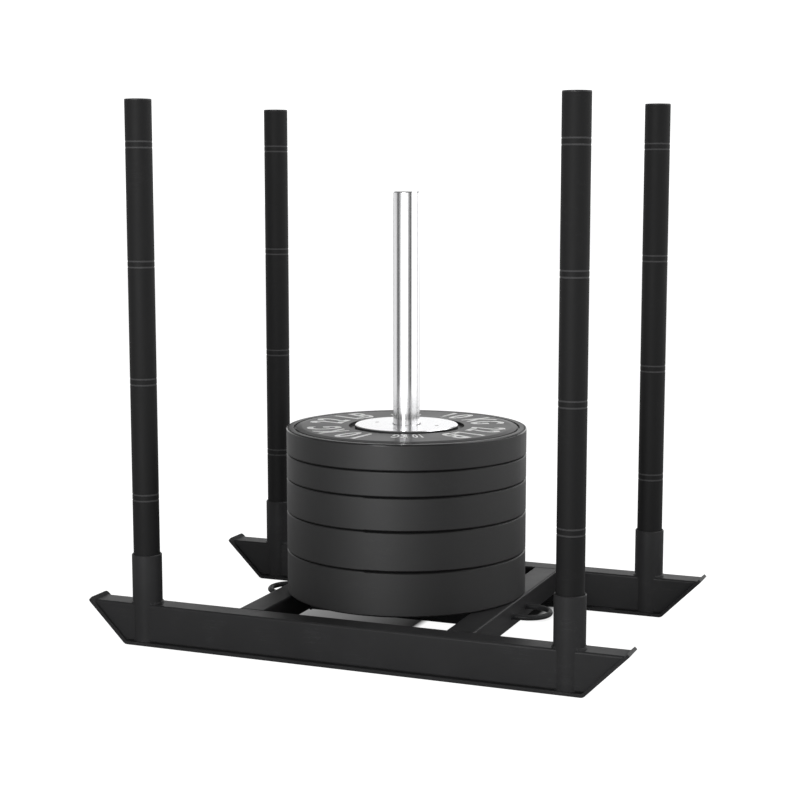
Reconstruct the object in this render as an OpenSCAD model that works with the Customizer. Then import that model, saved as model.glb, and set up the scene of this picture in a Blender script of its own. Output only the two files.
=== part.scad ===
// Weight sled: two skid runners joined by cross members, four lift-out push poles
// in sockets, and a loading sleeve that carries a stack of five bumper plates.
// The sled travels along X: front is +X, rear is -X, left is +Y and right is -Y.
// Z is up, the ground is z = 0, and the sleeve stands on the origin.

/* [Runners] */
// Length of a skid shoe's flat sole between the starts of its two bends
sole_len = 860; // [760:4:1100]
// Distance between the centre lines of the two runners
track_w = 552; // [500:2:700]
// Width of a runner tube
runner_w = 46; // [40:1:52]
// Height of a runner tube
runner_h = 70; // [60:1:100]
// Wall of the runner tubes
runner_wall = 3; // [2:0.5:5]
// Outer corner radius of the runner tubes
runner_corner_r = 4; // [3:0.5:8]

/* [Skid shoes] */
// Width of the flat bar under each runner
skid_w = 60; // [54:1:90]
// Thickness of the flat bar
skid_t = 6; // [4:0.5:10]
// Outside radius of the bar's two bends
skid_bend_r = 11; // [10.5:0.5:25]
// Angle of the upturned ends above the ground
toe_angle = 45; // [35:1:60]
// Height of the upturned ends above the runner tube
toe_lip = 5; // [1:0.5:15]
// Corner radius of the upturned ends
toe_corner_r = 6; // [2:0.5:15]

/* [Cross members] */
// Distance between the centre lines of the two cross members
cross_spacing = 400; // [300:2:520]
// Width of a cross member
cross_w = 50; // [40:1:60]
// Depth of a cross member below the frame's top
cross_h = 45; // [35:1:55]
// Wall of the cross members and the centre beam
cross_wall = 3; // [2:0.5:5]
// Outer corner radius of the cross members and the centre beam
cross_corner_r = 3.5; // [3:0.5:8]
// Width of the beam under the plates that carries the sleeve
beam_w = 116; // [54:1:130]

/* [Tow loops] */
// Diameter of the round bar of a tow loop
loop_bar_d = 10; // [6:0.5:14]
// Distance between the centre lines of a loop's two arms
loop_w = 82; // [50:1:120]
// Straight length of a loop's arms
loop_arm = 17; // [6:1:60]
// Depth of a loop's centre line below the frame's top
loop_drop = 24; // [10:1:30]

/* [Pole sockets] */
// Distance along the sole from the start of a bend to the nearest socket's wall
socket_inset = 0.5; // [0:0.25:90]
// Height of a socket above the skid shoe
socket_h = 161; // [100:1:240]
// Wall of a socket tube
socket_wall = 2.75; // [2:0.25:4]
// Edge chamfer at a socket's mouth
socket_chamfer = 1.4; // [0.4:0.1:1.6]
// Leg of the weld bead round a socket
weld_leg = 3; // [1:0.5:8]

/* [Push poles] */
// Outside diameter of a pole
pole_d = 48.3; // [42:0.1:50]
// Length of a pole tube
pole_len = 978; // [700:1:1200]
// Wall of a pole tube
pole_wall = 3; // [2:0.5:5]
// Radial clearance between a pole and its socket
pole_clearance = 0.5; // [0.3:0.05:1]
// Thickness of a pole cap's rim
cap_rim_t = 3; // [1.5:0.5:8]
// Depth of a pole cap's plug inside the tube
cap_plug_h = 18; // [8:1:40]

/* [Height marks on the poles] */
// Number of groove pairs on a pole
mark_count = 4; // [1:1:4]
// Distance from the tube's top to the first pair's centre
mark_top_drop = 77; // [30:0.5:120]
// Distance between neighbouring pairs
mark_pitch = 211.5; // [60:0.5:215]
// Distance between the two grooves of a pair
mark_gap = 10.8; // [6:0.2:20]
// Width of a groove
mark_w = 3; // [1:0.2:4]
// Depth of a groove
mark_depth = 0.4; // [0.2:0.1:1]

/* [Loading sleeve] */
// Outside diameter of the sleeve
sleeve_d = 50; // [25:0.5:50]
// Height of the sleeve above the frame
sleeve_h = 748; // [420:1:900]
// Wall of the sleeve tube
sleeve_wall = 4; // [2:0.5:8]
// Chamfer at the sleeve's top edge
sleeve_chamfer = 2; // [0.5:0.5:3]
// Thickness of the disc that closes the sleeve
sleeve_cap_t = 5; // [3:0.5:12]

/* [Bumper plates] */
// Diameter of every plate
plate_d = 450; // [440:1:452]
// Thickness of the first plate at its rim, counted from the bottom
plate_1_t = 81.5; // [60:0.5:100]
// Thickness of the second plate
plate_2_t = 72; // [50:0.5:90]
// Thickness of the third plate
plate_3_t = 61.5; // [40:0.5:80]
// Thickness of the fourth plate
plate_4_t = 46; // [38:0.5:60]
// Thickness of the fifth plate
plate_5_t = 47.5; // [38:0.5:60]
// Edge radius of the rubber
rubber_edge_r = 3; // [1:0.5:8]
// Width of the flat rim round each face
rim_w = 13; // [8:0.5:25]
// Width of the groove inside the rim
rim_groove_w = 4; // [2:0.5:8]
// Depth of the grooves in a face
groove_depth = 3; // [1.5:0.5:3.5]
// Height of the printed face above the rim
face_crown = 1.7; // [0.5:0.1:2]
// Width of the slope from the printed face down to the groove inside the rim
crown_slope_w = 12; // [4:0.5:30]
// Width of the groove round the hub disc
hub_groove_w = 12; // [4:0.5:20]

/* [Plate hubs] */
// Diameter of a hub's steel discs
hub_d = 193; // [150:1:230]
// Thickness of a hub's steel discs
hub_disc_t = 8; // [5:0.5:14]
// Height of the upper disc above the rim. The lower disc is sunk to clear the plate below
hub_proud = 4.5; // [2.5:0.5:5]
// Wall of the hub's centre tube
hub_tube_wall = 8; // [4:0.5:12]
// Radial clearance between a hub's bore and the sleeve
hub_clearance = 0.5; // [0.3:0.1:1.5]
// Chamfer of the discs' outer edges
hub_chamfer = 1.5; // [0.5:0.5:3]
// Chamfer of the bore's two mouths
bore_chamfer = 3; // [1:0.5:5]
// Screws on each face of a hub
screw_count = 4; // [3:1:8]
// Diameter of the circle of screws
screw_circle_d = 120; // [90:1:140]
// Diameter of a screw's head
screw_head_d = 8; // [5:0.5:12]
// Height of a screw's head
screw_head_h = 1.6; // [1:0.1:3]
// Diameter of a screw's shank
screw_shank_d = 4; // [2:0.5:4.5]
// Length of a screw from the top of its head to its tip
screw_len = 17; // [15:0.5:18]

/* [Fits] */
// Gap left between pieces that are welded or moulded together
weld_gap = 0.05; // [0.02:0.01:0.1]
// Vertical gap between stacked plates and under a resting pole
rest_gap = 0.4; // [0.3:0.1:1]

/* [Hidden] */
$fn = 96;

// Signs of X and Y at the sled's ends and sides
REAR = -1;
FRONT = 1;
RIGHT = -1;
LEFT = 1;

// Heights above the ground
runner_z = skid_t + weld_gap;
frame_top = skid_t + runner_h;
socket_z = skid_t + weld_gap;
socket_top = skid_t + socket_h;
pole_z = skid_t + rest_gap;
pole_top = pole_z + pole_len;
sleeve_z = frame_top + weld_gap;
sleeve_top = frame_top + sleeve_h;

// Radii
pole_r = pole_d / 2;
pole_bore_r = pole_r - pole_wall;
socket_bore_r = pole_r + pole_clearance;
socket_r = socket_bore_r + socket_wall;
sleeve_r = sleeve_d / 2;
sleeve_bore_r = sleeve_r - sleeve_wall;
plate_r = plate_d / 2;
hub_r = hub_d / 2;
hub_bore_r = sleeve_r + hub_clearance;
hub_tube_r = hub_bore_r + hub_tube_wall;
skid_inner_r = skid_bend_r - skid_t;

// Places in plan. The toe corner is where the sole and the upturned end would meet without a bend
sole_half = sole_len / 2;
toe_corner_x = sole_half + skid_bend_r * tan(toe_angle / 2);
socket_x = sole_half - socket_inset - socket_r;
runner_y = track_w / 2;
cross_x = cross_spacing / 2;

// The stack, from the bottom plate up
plate_ts = [plate_1_t, plate_2_t, plate_3_t, plate_4_t, plate_5_t];
function stack_z(i) = i == 0 ? frame_top + rest_gap : stack_z(i - 1) + plate_ts[i - 1] + rest_gap;
function hub_bottom(i) = stack_z(i) + hub_proud + rest_gap;
function hub_top(i) = stack_z(i) + plate_ts[i] + hub_proud;

// Allowance by which cutters run past the faces that they cut
cut = 1;

// Where a line parallel to the upturned end, set in by depth from its outer face, reaches height z
function toe_x(z, depth) = toe_corner_x + z / tan(toe_angle) - depth / sin(toe_angle);

// A side view's points with their mirror image, to close a long symmetric outline
function with_mirror(half) = concat(half, [for (i = [len(half) - 1 : -1 : 0]) [-half[i][0], half[i][1]]]);

// A rectangle with round corners, centred
module rounded_rectangle(w, h, r) {
    square([w - 2 * r, h], center = true);
    square([w, h - 2 * r], center = true);
    for (x = [-1, 1], y = [-1, 1])
        translate([x * (w / 2 - r), y * (h / 2 - r)])
            circle(r);
}

// The wall of a rectangular hollow section
module hollow_section(w, h, wall, r) {
    difference() {
        rounded_rectangle(w, h, r);
        rounded_rectangle(w - 2 * wall, h - 2 * wall, max(r - wall, wall / 4));
    }
}

// A rectangular tube along X, centred
module tube_along_x(length, w, h, wall, r) {
    rotate([90, 0, 90])
        linear_extrude(height = length, center = true)
            hollow_section(w, h, wall, r);
}

// Side view of a runner, whose ends lean back along the skid's ends and clear its bends
module runner_side() {
    depth = skid_t + weld_gap;
    heel = (skid_inner_r + weld_gap) * tan(toe_angle / 2);
    bottom_x = toe_x(runner_z, depth);
    polygon(with_mirror([
        [bottom_x - heel, runner_z],
        [bottom_x + heel * cos(toe_angle), runner_z + heel * sin(toe_angle)],
        [toe_x(frame_top, depth), frame_top]
    ]));
}

// A whole runner tube, before it is cut at its two sockets
module runner_tube(side) {
    tube_h = frame_top - runner_z;
    translate([0, side * runner_y, 0])
        intersection() {
            translate([0, 0, runner_z + tube_h / 2])
                tube_along_x(2 * toe_x(frame_top, 0), runner_w, tube_h, runner_wall, runner_corner_r);
            rotate([90, 0, 0])
                linear_extrude(height = runner_w + 2 * cut, center = true)
                    runner_side();
        }
}

// The stretch of a runner tube between two places along X, with the sockets cut out
module runner_piece(side, from_x, to_x) {
    color("#2f2f30")
        difference() {
            intersection() {
                runner_tube(side);
                translate([from_x, side * runner_y - runner_w, 0])
                    cube([to_x - from_x, 2 * runner_w, 2 * frame_top]);
            }
            for (end = [REAR, FRONT])
                translate([end * socket_x, side * runner_y, 0])
                    cylinder(r = socket_r + weld_gap, h = 2 * frame_top);
        }
}

module runner_middle(side) {
    runner_piece(side, -socket_x, socket_x);
}

module runner_toe(side, end) {
    tip_x = toe_x(frame_top, 0) + cut;
    if (end == FRONT)
        runner_piece(side, socket_x, tip_x);
    else
        runner_piece(side, -tip_x, -socket_x);
}

// Side view of a skid shoe: a flat bar with both ends bent up round true arcs
module skid_side() {
    across = [-sin(toe_angle), cos(toe_angle)] * skid_t;
    bend_start = [sole_half, 0];
    bend_end = bend_start + skid_bend_r * [sin(toe_angle), 1 - cos(toe_angle)];
    tip_z = frame_top + toe_lip - across[1];
    tip = [toe_x(tip_z, 0), tip_z];
    difference() {
        union() {
            polygon(with_mirror([
                bend_start, bend_end, tip, tip + across, bend_end + across, [sole_half, skid_t]
            ]));
            for (end = [REAR, FRONT])
                intersection() {
                    translate([end * sole_half, skid_bend_r])
                        circle(skid_bend_r);
                    polygon([
                        [end * bend_start[0], bend_start[1]],
                        [end * toe_corner_x, 0],
                        [end * bend_end[0], bend_end[1]]
                    ]);
                }
        }
        for (end = [REAR, FRONT])
            translate([end * sole_half, skid_bend_r])
                circle(skid_inner_r);
    }
}

// What is cut from an upturned end's two corners to round them
module toe_corner_cuts() {
    tip_z = frame_top + toe_lip - skid_t * cos(toe_angle);
    r = toe_corner_r;
    translate([toe_x(tip_z, 0), 0, tip_z])
        rotate([0, -toe_angle, 0])
            for (side = [RIGHT, LEFT])
                translate([-r, side * (skid_w / 2 - r), -cut])
                    linear_extrude(height = skid_t + 2 * cut)
                        difference() {
                            translate([0, side * (r + cut) / 2 - (r + cut) / 2])
                                square(r + cut);
                            circle(r);
                        }
}

// The flat bar that a runner slides on
module skid(side) {
    color("#353536")
        translate([0, side * runner_y, 0])
            difference() {
                rotate([90, 0, 0])
                    linear_extrude(height = skid_w, center = true)
                        skid_side();
                toe_corner_cuts();
                mirror([1, 0, 0])
                    toe_corner_cuts();
            }
}

module cross_member(end) {
    length = track_w - runner_w - 2 * weld_gap;
    color("#3c3c3d")
        translate([end * cross_x, 0, frame_top - cross_h / 2])
            rotate([0, 0, 90])
                tube_along_x(length, cross_w, cross_h, cross_wall, cross_corner_r);
}

module centre_beam() {
    length = cross_spacing - cross_w - 2 * weld_gap;
    color("#2f2f30")
        translate([0, 0, frame_top - cross_h / 2])
            tube_along_x(length, beam_w, cross_h, cross_wall, cross_corner_r);
}

// A U of round bar, welded by its two arms to the outer side of a cross member
module tow_loop(end) {
    root_x = cross_x + cross_w / 2 + weld_gap;
    color("#2a2a2b")
        rotate([0, 0, end == FRONT ? 0 : 180])
            translate([root_x, 0, frame_top - loop_drop]) {
                for (y = [-1, 1])
                    translate([0, y * loop_w / 2, 0])
                        rotate([0, 90, 0])
                            cylinder(d = loop_bar_d, h = loop_arm);
                translate([loop_arm, 0, 0])
                    rotate([0, 0, -90])
                        rotate_extrude(angle = 180)
                            translate([loop_w / 2, 0])
                                circle(d = loop_bar_d);
            }
}

// A socket tube that stands on the skid shoe and bulges out of the runner's sides
module socket(side, end) {
    c = socket_chamfer;
    bead_z = frame_top + weld_gap;
    bead_half_y = runner_w / 2 - runner_corner_r / 2;
    color("#303031")
        translate([end * socket_x, side * runner_y, 0]) {
            rotate_extrude()
                polygon([
                    [socket_bore_r, socket_z],
                    [socket_r, socket_z],
                    [socket_r, socket_top - c],
                    [socket_r - c, socket_top],
                    [socket_bore_r + c / 2, socket_top],
                    [socket_bore_r, socket_top - c / 2]
                ]);
            intersection() {
                rotate_extrude()
                    polygon([
                        [socket_r - socket_wall / 2, bead_z],
                        [socket_r + weld_leg, bead_z],
                        [socket_r, bead_z + weld_leg],
                        [socket_r - socket_wall / 2, bead_z + weld_leg]
                    ]);
                translate([-2 * socket_r, -bead_half_y, bead_z])
                    cube([4 * socket_r, 2 * bead_half_y, weld_leg]);
            }
        }
}

// Points up one groove of a height mark, centred on height z
function groove_points(z) = [
    [pole_r, z - mark_w / 2],
    [pole_r - mark_depth, z - mark_w / 2],
    [pole_r - mark_depth, z + mark_w / 2],
    [pole_r, z + mark_w / 2]
];

// A pole tube with pairs of shallow grooves
module pole(side, end) {
    lead_in = pole_wall / 2;
    grooves = [
        for (i = [mark_count - 1 : -1 : 0], s = [-1, 1])
            each groove_points(pole_top - mark_top_drop - i * mark_pitch + s * mark_gap / 2)
    ];
    color("#29292a")
        translate([end * socket_x, side * runner_y, 0])
            rotate_extrude()
                polygon(concat(
                    [[pole_bore_r, pole_z], [pole_r - lead_in, pole_z], [pole_r, pole_z + lead_in]],
                    grooves,
                    [[pole_r, pole_top], [pole_bore_r, pole_top]]
                ));
}

// A plug with a rim that closes a pole's top
module pole_cap(side, end) {
    rim_r = pole_r - weld_gap;
    plug_r = pole_bore_r - weld_gap;
    rim_z = pole_top + weld_gap;
    edge = cap_rim_t / 4;
    color("#1d1d1e")
        translate([end * socket_x, side * runner_y, 0])
            rotate_extrude()
                polygon([
                    [0, rim_z - cap_plug_h],
                    [plug_r - edge, rim_z - cap_plug_h],
                    [plug_r, rim_z - cap_plug_h + edge],
                    [plug_r, rim_z],
                    [rim_r, rim_z],
                    [rim_r, rim_z + cap_rim_t - edge],
                    [rim_r - edge, rim_z + cap_rim_t],
                    [0, rim_z + cap_rim_t]
                ]);
}

// The tube that the plates slide over
module sleeve() {
    c = min(sleeve_chamfer, sleeve_wall / 2);
    color("#e8e8ea")
        rotate_extrude()
            polygon([
                [sleeve_bore_r, sleeve_z],
                [sleeve_r, sleeve_z],
                [sleeve_r, sleeve_top - c],
                [sleeve_r - c, sleeve_top],
                [sleeve_bore_r, sleeve_top]
            ]);
}

// A disc set flush in the sleeve's top
module sleeve_cap() {
    color("#d8d8da")
        translate([0, 0, sleeve_top - sleeve_cap_t])
            cylinder(r = sleeve_bore_r - weld_gap, h = sleeve_cap_t);
}

// Half of the rubber of plate i in section. What is raised on its top is sunk on its underside,
// so that plates nest
module rubber_section(i) {
    bottom = stack_z(i);
    top = bottom + plate_ts[i];
    e = rubber_edge_r;
    inner = hub_tube_r + weld_gap;
    pocket_r = hub_r + weld_gap;
    pocket_top = hub_top(i) - hub_disc_t - weld_gap;
    pocket_bottom = hub_bottom(i) + hub_disc_t + weld_gap;
    well_r = hub_r + hub_groove_w;
    well_bottom = hub_bottom(i) + hub_proud + groove_depth;
    rim_inner_r = plate_r - rim_w;
    face_r = rim_inner_r - rim_groove_w;
    dish = face_crown + rest_gap;
    polygon([
        [inner, pocket_bottom],
        [pocket_r, pocket_bottom],
        [pocket_r, well_bottom],
        [well_r, well_bottom],
        [well_r, bottom + dish],
        [face_r, bottom + dish],
        [face_r, bottom + groove_depth],
        [rim_inner_r, bottom + groove_depth],
        [rim_inner_r, bottom],
        [plate_r - e, bottom],
        [plate_r - e, top],
        [rim_inner_r, top],
        [rim_inner_r, top - groove_depth],
        [face_r, top - groove_depth],
        [face_r, top],
        [face_r - crown_slope_w, top + face_crown],
        [well_r, top + face_crown],
        [well_r, top - groove_depth],
        [pocket_r, top - groove_depth],
        [pocket_r, pocket_top],
        [inner, pocket_top]
    ]);
    translate([rim_inner_r, bottom + e])
        square([rim_w, top - bottom - 2 * e]);
    for (z = [bottom + e, top - e])
        translate([plate_r - e, z])
            circle(e);
}

// The children at every screw of plate i, with z = 0 on the hub's face and the plate below it
module at_screws(i) {
    for (face = [0, 1], k = [0 : screw_count - 1])
        translate([0, 0, face == 1 ? hub_top(i) : hub_bottom(i)])
            mirror([0, 0, 1 - face])
                rotate([0, 0, k * 360 / screw_count])
                    translate([screw_circle_d / 2, 0, 0])
                        children();
}

// The hole that a screw's shank passes through
module screw_hole() {
    depth = screw_len + weld_gap;
    translate([0, 0, -depth])
        cylinder(r = screw_shank_d / 2 + weld_gap, h = depth + cut);
}

// The moulded rubber of plate i
module plate_rubber(i) {
    color("#3b3b3c")
        difference() {
            rotate_extrude()
                rubber_section(i);
            at_screws(i)
                screw_hole();
        }
}

// The steel hub of plate i: two discs joined by a tube that runs on the sleeve
module plate_hub(i) {
    bottom = hub_bottom(i);
    top = hub_top(i);
    c = hub_chamfer;
    b = bore_chamfer;
    color("#dcdcde")
        difference() {
            rotate_extrude()
                polygon([
                    [hub_bore_r, bottom + b],
                    [hub_bore_r + b, bottom],
                    [hub_r - c, bottom],
                    [hub_r, bottom + c],
                    [hub_r, bottom + hub_disc_t],
                    [hub_tube_r, bottom + hub_disc_t],
                    [hub_tube_r, top - hub_disc_t],
                    [hub_r, top - hub_disc_t],
                    [hub_r, top - c],
                    [hub_r - c, top],
                    [hub_bore_r + b, top],
                    [hub_bore_r, top - b]
                ]);
            at_screws(i) {
                screw_hole();
                translate([0, 0, -screw_head_h - weld_gap])
                    cylinder(r = screw_head_d / 2 + weld_gap, h = screw_head_h + cut);
            }
        }
}

// The screws that hold the two discs of hub i to the rubber
module plate_screws(i) {
    color("#9a9a9c")
        at_screws(i) {
            translate([0, 0, -screw_head_h])
                cylinder(d = screw_head_d, h = screw_head_h);
            translate([0, 0, -screw_len])
                cylinder(d = screw_shank_d, h = screw_len - screw_head_h / 2);
        }
}

runner_middle(RIGHT);  // right_runner
runner_toe(RIGHT, REAR);  // right_rear_toe
runner_toe(RIGHT, FRONT);  // right_front_toe
runner_middle(LEFT);  // left_runner
runner_toe(LEFT, REAR);  // left_rear_toe
runner_toe(LEFT, FRONT);  // left_front_toe
skid(RIGHT);  // right_skid
skid(LEFT);  // left_skid
cross_member(REAR);  // rear_cross_member
cross_member(FRONT);  // front_cross_member
centre_beam();
tow_loop(REAR);  // rear_tow_loop
tow_loop(FRONT);  // front_tow_loop
socket(RIGHT, REAR);  // right_rear_socket
socket(RIGHT, FRONT);  // right_front_socket
socket(LEFT, REAR);  // left_rear_socket
socket(LEFT, FRONT);  // left_front_socket
pole(RIGHT, REAR);  // right_rear_pole
pole(RIGHT, FRONT);  // right_front_pole
pole(LEFT, REAR);  // left_rear_pole
pole(LEFT, FRONT);  // left_front_pole
pole_cap(RIGHT, REAR);  // right_rear_cap
pole_cap(RIGHT, FRONT);  // right_front_cap
pole_cap(LEFT, REAR);  // left_rear_cap
pole_cap(LEFT, FRONT);  // left_front_cap
sleeve();
sleeve_cap();
plate_rubber(0);  // plate_1_rubber
plate_hub(0);  // plate_1_hub
plate_screws(0);  // plate_1_screws
plate_rubber(1);  // plate_2_rubber
plate_hub(1);  // plate_2_hub
plate_screws(1);  // plate_2_screws
plate_rubber(2);  // plate_3_rubber
plate_hub(2);  // plate_3_hub
plate_screws(2);  // plate_3_screws
plate_rubber(3);  // plate_4_rubber
plate_hub(3);  // plate_4_hub
plate_screws(3);  // plate_4_screws
plate_rubber(4);  // plate_5_rubber
plate_hub(4);  // plate_5_hub
plate_screws(4);  // plate_5_screws
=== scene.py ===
"""Looks of a weight sled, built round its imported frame: finishes, welds, screws, figures and studio."""
import math

import bmesh
import bpy
from mathutils import Matrix, Vector


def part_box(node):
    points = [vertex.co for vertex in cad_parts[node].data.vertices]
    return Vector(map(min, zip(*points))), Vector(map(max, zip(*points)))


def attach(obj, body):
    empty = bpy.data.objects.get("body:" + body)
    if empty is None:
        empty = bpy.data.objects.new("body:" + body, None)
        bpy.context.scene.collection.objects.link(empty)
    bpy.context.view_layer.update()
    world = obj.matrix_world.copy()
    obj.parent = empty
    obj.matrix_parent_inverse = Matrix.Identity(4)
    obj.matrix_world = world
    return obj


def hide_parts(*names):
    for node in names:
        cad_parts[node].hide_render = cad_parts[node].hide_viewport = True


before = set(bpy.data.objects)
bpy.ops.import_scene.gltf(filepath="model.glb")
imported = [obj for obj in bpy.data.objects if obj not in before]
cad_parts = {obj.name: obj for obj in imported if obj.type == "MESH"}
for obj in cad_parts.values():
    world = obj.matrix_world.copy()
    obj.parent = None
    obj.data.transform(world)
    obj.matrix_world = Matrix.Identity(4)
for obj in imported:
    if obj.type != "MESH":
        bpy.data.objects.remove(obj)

bl_info = {
    "name": "Weight Sled Looks",
    "version": (1, 0, 0),
    "blender": (4, 5, 0),
    "location": "View3D > Sidebar > Sled",
    "description": "Coats, chrome, rubber, welds, screws, printed figures and studio for a weight sled",
    "category": "Object",
}

MM = 0.001
FRAME_BODY = "sled_frame"

# Signs of X and Y at the sled's ends and sides
ENDS = {"rear": -1, "front": 1}
SIDES = {"right": -1, "left": 1}
CORNERS = [(side, end) for side in SIDES for end in ENDS]
PLATES = range(1, 6)
# Mass printed on each plate, counted from the bottom
PLATE_KILOGRAMS = {1: 25, 2: 20, 3: 15, 4: 10, 5: 10}
KILOGRAMS_IN_A_POUND = 0.4536


def box(node):
    """The lowest and the highest corner of a node of the frame."""
    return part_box(node)


def middle(node):
    low, high = box(node)
    return (low + high) / 2


def half_size(node):
    low, high = box(node)
    return (high - low) / 2


# Measures of the frame that several pieces are placed by
FRAME_TOP = box("front_cross_member")[1].z
RUNNER_HALF_WIDTH = half_size("right_runner").y
RUNNER_BOTTOM = box("right_runner")[0].z
POLE_RADIUS = half_size("right_front_pole").x
POLE_AXIS = middle("left_front_pole")
SOCKET_RADIUS = half_size("right_front_socket").y
SLEEVE_RADIUS = box("sleeve")[1].x
HUB_RADIUS = box("plate_5_hub")[1].y
PLATE_RADIUS = box("plate_5_rubber")[1].y
STACK_RIM_TOP = box("plate_5_rubber")[1].z

# Measures that the frame's boxes don't show
FACE_DISH = 2.1 * MM
HUB_GROOVE_WIDTH = 12.0 * MM
RIM_WIDTH = 29.0 * MM
SCREW_CIRCLE_RADIUS = 60.0 * MM
SCREW_HEAD_RADIUS = 4.0 * MM
SCREW_SHANK_RADIUS = 2.0 * MM
SCREW_LENGTH = 17.0 * MM
SCREWS_ON_A_FACE = 4
SECTION_CORNER_RADIUS = 3.5 * MM
# How far below the frame's top the welds on the sides of its sections stop
WELD_END_DROP = 1.5 * MM

ALONG = Vector((1, 0, 0))
ACROSS = Vector((0, 1, 0))
UP = Vector((0, 0, 1))

# What the settings of one kind share
SHARE = {"subtype": "FACTOR", "min": 0, "max": 1}
LENGTH = {"subtype": "DISTANCE", "unit": "LENGTH"}
GLOW = {"min": 0, "max": 5}
POWER = {"unit": "POWER", "min": 0, "max": 5000}


def color_setting(name, description, default):
    return bpy.props.FloatVectorProperty(
        name=name, description=description, default=default, subtype="COLOR", size=3, min=0, max=1)


def number_setting(name, description, default, **kind):
    return bpy.props.FloatProperty(name=name, description=description, default=default, **kind)


class FinishSettings(bpy.types.PropertyGroup):
    """Colours and finishes of the sled's surfaces."""

    coat_color: color_setting(
        "Frame Coat", "Powder coat on the frame and the skid shoes", (0.0295, 0.0295, 0.0304))
    pole_color: color_setting("Pole Coat", "Powder coat on the push poles", (0.0116, 0.0116, 0.0119))
    mark_color: color_setting("Height Marks", "Colour in the poles' ring grooves", (0.048, 0.048, 0.049))
    cap_color: color_setting("Pole Caps", "Moulded plastic of the pole caps", (0.010, 0.010, 0.011))
    rubber_color: color_setting("Plate Rubber", "Moulded rubber of the plates", (0.0220, 0.0220, 0.0223))
    ink_color: color_setting("Figures", "Ink of the printed figures", (0.95, 0.95, 0.94))
    steel_color: color_setting("Bare Steel", "Steel where a coat has worn through", (0.42, 0.41, 0.40))
    chrome_color: color_setting("Chrome", "Plating of the sleeve and the hubs", (0.90, 0.90, 0.91))
    coat_roughness: number_setting("Coat Roughness", "Mean roughness of the frame's coat", 0.36, **SHARE)
    wear: number_setting("Wear", "How much the coat's edges have worn", 0.35, **SHARE)
    dust: number_setting("Dust", "How much dust lies on surfaces that face up", 0.04, **SHARE)


class DetailSettings(bpy.types.PropertyGroup):
    """Sizes of the small pieces that the looks add."""

    weld_radius: number_setting(
        "Weld Radius", "Radius of the weld beads on the frame", 2.0 * MM,
        min=0.5 * MM, max=5 * MM, **LENGTH)
    ripple_pitch: number_setting(
        "Weld Ripple", "Distance between the ripples of a weld bead", 2.6 * MM,
        min=1 * MM, max=10 * MM, **LENGTH)
    figure_height: number_setting(
        "Figure Height", "Height of the large printed figures", 64 * MM,
        min=20 * MM, max=80 * MM, **LENGTH)
    small_figure_height: number_setting(
        "Small Figure Height", "Height of the small printed figures", 36 * MM,
        min=10 * MM, max=50 * MM, **LENGTH)
    ink_thickness: number_setting(
        "Ink Thickness", "How far the printed figures stand proud of the rubber", 0.25 * MM,
        min=0.1 * MM, max=1 * MM, **LENGTH)


class StudioSettings(bpy.types.PropertyGroup):
    """The floor, the light and the camera."""

    floor_color: color_setting("Floor", "Colour of the plain floor", (0.32, 0.32, 0.32))
    floor_glow: number_setting(
        "Floor Glow", "How much the open floor is lightened to the camera", 0.97, **GLOW)
    shade_glow: number_setting(
        "Shaded Floor Glow", "How much the floor under the stack is lightened to the camera", 0.30, **GLOW)
    horizon_glow: number_setting(
        "Horizon Glow", "Light that the far floor gives off, as a curved backdrop does", 0.72, **GLOW)
    front_glow: number_setting(
        "Front Glow", "Extra light of the far floor straight ahead of the stack", 0.9, **GLOW)
    back_sky: number_setting("Back Sky", "Brightness low in the sky beyond the sled", 1.30, **GLOW)
    front_sky: number_setting("Front Sky", "Brightness low in the sky behind the camera", 1.00, **GLOW)
    sky_lean: number_setting(
        "Sky Lean", "How much brighter the sky is to the camera's right than to its left", 0.40, **SHARE)
    overhead_sky: number_setting("Overhead Sky", "Brightness of the sky overhead", 0.16, **GLOW)
    key_power: number_setting("Key Lamp", "Power of the large lamp overhead", 50, **POWER)
    front_power: number_setting("Front Lamp", "Power of the soft lamp beside the camera", 54, **POWER)
    side_power: number_setting("Side Lamp", "Power of the soft lamp beyond the front end", 14, **POWER)
    lens: number_setting(
        "Lens", "Focal length of the camera", 76.07, subtype="DISTANCE_CAMERA", min=20, max=300)


# Node trees


def connect(node, socket, value):
    node.id_data.links.new(value, node.inputs[socket])


def set_input(node, socket, value):
    """Links an input to a socket, or gives it a value."""
    if isinstance(value, bpy.types.NodeSocket):
        connect(node, socket, value)
    else:
        node.inputs[socket].default_value = value


def add_node(tree, kind, values=None, **properties):
    """A new node with its properties, and its inputs set to values or linked to sockets."""
    node = tree.nodes.new(kind)
    for name, value in properties.items():
        setattr(node, name, value)
    for name, value in (values or {}).items():
        set_input(node, name, value)
    return node


def math_node(tree, operation, first, second=0.0, clamp=False):
    node = add_node(tree, "ShaderNodeMath", {0: first, 1: second}, operation=operation, use_clamp=clamp)
    return node.outputs[0]


def product(tree, first, *others):
    for other in others:
        first = math_node(tree, "MULTIPLY", first, other)
    return first


def inverse(tree, mask):
    return math_node(tree, "SUBTRACT", 1.0, mask)


def distance_from(tree, value, centre):
    return math_node(tree, "ABSOLUTE", math_node(tree, "SUBTRACT", value, centre))


def ramp(tree, value, low, high, to_low=0.0, to_high=1.0):
    """value taken from low..high to to_low..to_high, and held at the ends."""
    return add_node(tree, "ShaderNodeMapRange", {
        "Value": value, "From Min": low, "From Max": high, "To Min": to_low, "To Max": to_high}).outputs[0]


def vector_math(tree, operation, first, second=(0.0, 0.0, 0.0)):
    node = add_node(tree, "ShaderNodeVectorMath", {0: first, 1: second}, operation=operation)
    return node.outputs["Value" if operation in {"DOT_PRODUCT", "LENGTH"} else "Vector"]


def object_place(tree):
    return add_node(tree, "ShaderNodeTexCoord").outputs["Object"]


def surface_normal(tree):
    return add_node(tree, "ShaderNodeNewGeometry").outputs["Normal"]


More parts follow.
